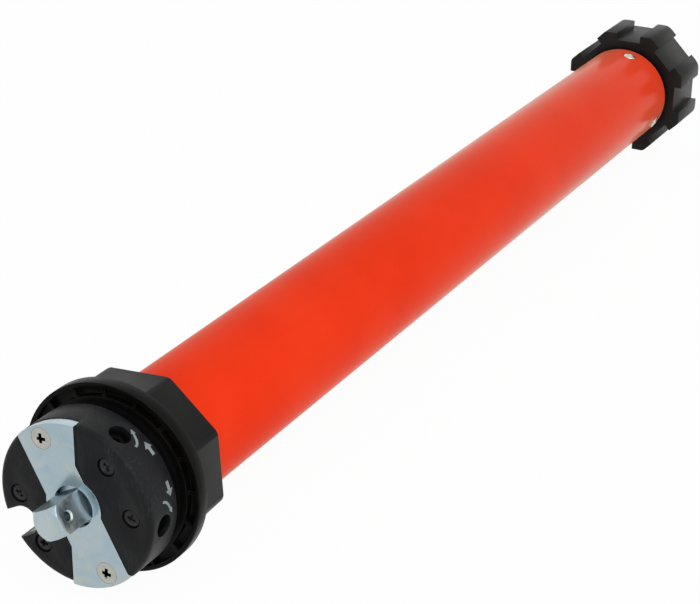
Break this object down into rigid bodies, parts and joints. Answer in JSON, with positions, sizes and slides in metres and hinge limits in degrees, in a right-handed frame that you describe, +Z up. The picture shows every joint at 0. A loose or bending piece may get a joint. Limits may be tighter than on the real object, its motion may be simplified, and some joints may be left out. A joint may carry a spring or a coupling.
{
  "type": "tubular roller blind motor",
  "caption": "Tubular motor that turns a roller blind from inside its tube, with a square-pin head, a free octagonal crown, limit adjusters and an octagonal drive wheel.",
  "frame": {"origin": "on the axis, in the outer face of the mounting plate", "axes": "+X along the axis from the head to the drive wheel, +Z up as the motor lies on a table"},
  "size_m": [0.5204, 0.0654, 0.0654],
  "materials": {
    "zinc_plate": "bright zinc plating",
    "pin_steel": "zinc-plated steel",
    "bright_screw": "bright zinc-plated steel",
    "head_black": "fine-textured black moulding",
    "core_black": "smooth black moulding",
    "black_screw": "blackened steel",
    "crown_black": "satin black moulding",
    "wheel_black": "satin black moulding",
    "tube_red": "glossy red lacquer",
    "socket_ivory": "ivory moulding",
    "contact_brass": "bare brass",
    "adjuster_black": "black acetal",
    "limit_white": "white acetal",
    "upper_cam_orange": "orange acetal",
    "lower_cam_blue": "blue acetal",
    "switch_black": "black moulding",
    "plunger_red": "red acetal",
    "spring_steel": "oiled spring steel",
    "capacitor_grey": "grey plastic case",
    "holder_black": "black moulding",
    "iron": "bare iron",
    "copper_winding": "enamelled copper",
    "brake_lining": "friction lining",
    "shield_alloy": "die-cast alloy",
    "bearing_steel": "ground steel",
    "core_steel": "stacked steel sheet",
    "gear_steel": "hardened steel",
    "ring_steel": "sintered steel",
    "planet_sinter": "sintered bronze",
    "bush_bronze": "oil-soaked bronze"
  },
  "bodies": {
    "housing": {"mounting_plate": "zinc_plate", "square_pin": "pin_steel", "plate_screws": "bright_screw", "head_cover": "head_black", "cover_screws": "black_screw", "head_body": "core_black", "cable_socket": "socket_ivory", "socket_pins": "contact_brass", "crown_clip": "spring_steel", "neck_screws": "bright_screw", "upper_switch": "switch_black", "lower_switch": "switch_black", "limit_plate": "limit_white", "capacitor": "capacitor_grey", "capacitor_holder": "holder_black", "brake_yoke": "iron", "brake_coil": "copper_winding", "brake_spring": "spring_steel", "rear_shield": "shield_alloy", "rear_bearing": "bearing_steel", "stator_core": "core_steel", "stator_windings": "copper_winding", "front_shield": "shield_alloy", "front_bearing": "bearing_steel", "gear_case": "ring_steel", "gear_cap": "shield_alloy", "output_bush": "bush_bronze", "tube": "tube_red", "tube_rivets": "bright_screw"},
    "crown": {"crown": "crown_black"},
    "limit_pinion": {"limit_pinion": "limit_white"},
    "limit_reducer": {"limit_reducer": "limit_white"},
    "upper_cam": {"upper_cam": "upper_cam_orange"},
    "lower_cam": {"lower_cam": "lower_cam_blue"},
    "upper_plunger": {"upper_plunger": "plunger_red"},
    "lower_plunger": {"lower_plunger": "plunger_red"},
    "upper_adjuster": {"upper_adjuster": "adjuster_black"},
    "lower_adjuster": {"lower_adjuster": "adjuster_black"},
    "brake_armature": {"brake_armature": "iron"},
    "rotor": {"rotor_core": "core_steel", "rotor_shaft": "gear_steel", "brake_disc": "brake_lining"},
    "first_carrier": {"first_carrier": "gear_steel"},
    "second_carrier": {"second_carrier": "gear_steel"},
    "drive": {"output_shaft": "gear_steel", "drive_wheel": "wheel_black", "wheel_clip": "spring_steel"},
    "first_planet_a": {"first_planet_a": "planet_sinter"},
    "first_planet_b": {"first_planet_b": "planet_sinter"},
    "first_planet_c": {"first_planet_c": "planet_sinter"},
    "second_planet_a": {"second_planet_a": "planet_sinter"},
    "second_planet_b": {"second_planet_b": "planet_sinter"},
    "second_planet_c": {"second_planet_c": "planet_sinter"},
    "third_planet_a": {"third_planet_a": "planet_sinter"},
    "third_planet_b": {"third_planet_b": "planet_sinter"},
    "third_planet_c": {"third_planet_c": "planet_sinter"}
  },
  "joints": [
    {"name": "drive_spin", "type": "hinge", "parent": "housing", "child": "drive", "pos_m": [0.4926, 0, 0], "axis": [1, 0, 0], "continuous": true},
    {"name": "crown_spin", "type": "hinge", "parent": "housing", "child": "crown", "pos_m": [0.031, 0, 0], "axis": [1, 0, 0], "continuous": true},
    {"name": "limit_pinion_spin", "type": "hinge", "parent": "housing", "child": "limit_pinion", "pos_m": [0.0255, 0, 0.016], "axis": [1, 0, 0], "continuous": true},
    {"name": "limit_reducer_spin", "type": "hinge", "parent": "housing", "child": "limit_reducer", "pos_m": [0.0305, 0, 0.001], "axis": [1, 0, 0], "continuous": true},
    {"name": "upper_cam_spin", "type": "hinge", "parent": "housing", "child": "upper_cam", "pos_m": [0.035, 0.01, 0.001], "axis": [1, 0, 0], "continuous": true},
    {"name": "lower_cam_spin", "type": "hinge", "parent": "housing", "child": "lower_cam", "pos_m": [0.035, -0.01, 0.001], "axis": [1, 0, 0], "continuous": true},
    {"name": "upper_plunger_press", "type": "slide", "parent": "housing", "child": "upper_plunger", "axis": [0, 0, -1], "range_m": [0, 0.0006], "stiffness_N_per_m": 100, "springref_m": -0.001},
    {"name": "lower_plunger_press", "type": "slide", "parent": "housing", "child": "lower_plunger", "axis": [0, 0, -1], "range_m": [0, 0.0006], "stiffness_N_per_m": 100, "springref_m": -0.001},
    {"name": "upper_adjuster_turn", "type": "hinge", "parent": "housing", "child": "upper_adjuster", "pos_m": [0.0076, 0, 0], "axis": [0, -0.4772, 0.8788], "continuous": true},
    {"name": "lower_adjuster_turn", "type": "hinge", "parent": "housing", "child": "lower_adjuster", "pos_m": [0.0076, 0, 0], "axis": [0, -0.9936, -0.1132], "continuous": true},
    {"name": "brake_release", "type": "slide", "parent": "housing", "child": "brake_armature", "axis": [-1, 0, 0], "range_m": [0, 0.0004], "stiffness_N_per_m": 1000, "springref_m": -0.004},
    {"name": "rotor_spin", "type": "hinge", "parent": "housing", "child": "rotor", "pos_m": [0.285, 0, 0], "axis": [1, 0, 0], "continuous": true},
    {"name": "first_carrier_spin", "type": "hinge", "parent": "housing", "child": "first_carrier", "pos_m": [0.3893, 0, 0], "axis": [1, 0, 0], "continuous": true},
    {"name": "second_carrier_spin", "type": "hinge", "parent": "housing", "child": "second_carrier", "pos_m": [0.4107, 0, 0], "axis": [1, 0, 0], "continuous": true},
    {"name": "first_planet_a_spin", "type": "hinge", "parent": "first_carrier", "child": "first_planet_a", "pos_m": [0.3809, 0.0117, 0], "axis": [1, 0, 0], "continuous": true},
    {"name": "first_planet_b_spin", "type": "hinge", "parent": "first_carrier", "child": "first_planet_b", "pos_m": [0.3809, -0.00585, 0.01013], "axis": [1, 0, 0], "continuous": true},
    {"name": "first_planet_c_spin", "type": "hinge", "parent": "first_carrier", "child": "first_planet_c", "pos_m": [0.3809, -0.00585, -0.01013], "axis": [1, 0, 0], "continuous": true},
    {"name": "second_planet_a_spin", "type": "hinge", "parent": "second_carrier", "child": "second_planet_a", "pos_m": [0.4008, 0.0117, 0], "axis": [1, 0, 0], "continuous": true},
    {"name": "second_planet_b_spin", "type": "hinge", "parent": "second_carrier", "child": "second_planet_b", "pos_m": [0.4008, -0.00585, 0.01013], "axis": [1, 0, 0], "continuous": true},
    {"name": "second_planet_c_spin", "type": "hinge", "parent": "second_carrier", "child": "second_planet_c", "pos_m": [0.4008, -0.00585, -0.01013], "axis": [1, 0, 0], "continuous": true},
    {"name": "third_planet_a_spin", "type": "hinge", "parent": "drive", "child": "third_planet_a", "pos_m": [0.4237, 0.0117, 0], "axis": [1, 0, 0], "continuous": true},
    {"name": "third_planet_b_spin", "type": "hinge", "parent": "drive", "child": "third_planet_b", "pos_m": [0.4237, -0.00585, 0.01013], "axis": [1, 0, 0], "continuous": true},
    {"name": "third_planet_c_spin", "type": "hinge", "parent": "drive", "child": "third_planet_c", "pos_m": [0.4237, -0.00585, -0.01013], "axis": [1, 0, 0], "continuous": true}
  ],
  "couplings": [
    {"joint": "limit_pinion_spin", "follows": "crown_spin", "ratio": 3},
    {"joint": "limit_reducer_spin", "follows": "crown_spin", "ratio": -0.75},
    {"joint": "upper_cam_spin", "follows": "crown_spin", "ratio": 0.25},
    {"joint": "lower_cam_spin", "follows": "crown_spin", "ratio": 0.25},
    {"joint": "second_carrier_spin", "follows": "drive_spin", "ratio": 4},
    {"joint": "first_carrier_spin", "follows": "drive_spin", "ratio": 16},
    {"joint": "rotor_spin", "follows": "drive_spin", "ratio": 64},
    {"joint": "first_planet_a_spin", "follows": "drive_spin", "ratio": -48},
    {"joint": "first_planet_b_spin", "follows": "drive_spin", "ratio": -48},
    {"joint": "first_planet_c_spin", "follows": "drive_spin", "ratio": -48},
    {"joint": "second_planet_a_spin", "follows": "drive_spin", "ratio": -12},
    {"joint": "second_planet_b_spin", "follows": "drive_spin", "ratio": -12},
    {"joint": "second_planet_c_spin", "follows": "drive_spin", "ratio": -12},
    {"joint": "third_planet_a_spin", "follows": "drive_spin", "ratio": -3},
    {"joint": "third_planet_b_spin", "follows": "drive_spin", "ratio": -3},
    {"joint": "third_planet_c_spin", "follows": "drive_spin", "ratio": -3}
  ]
}
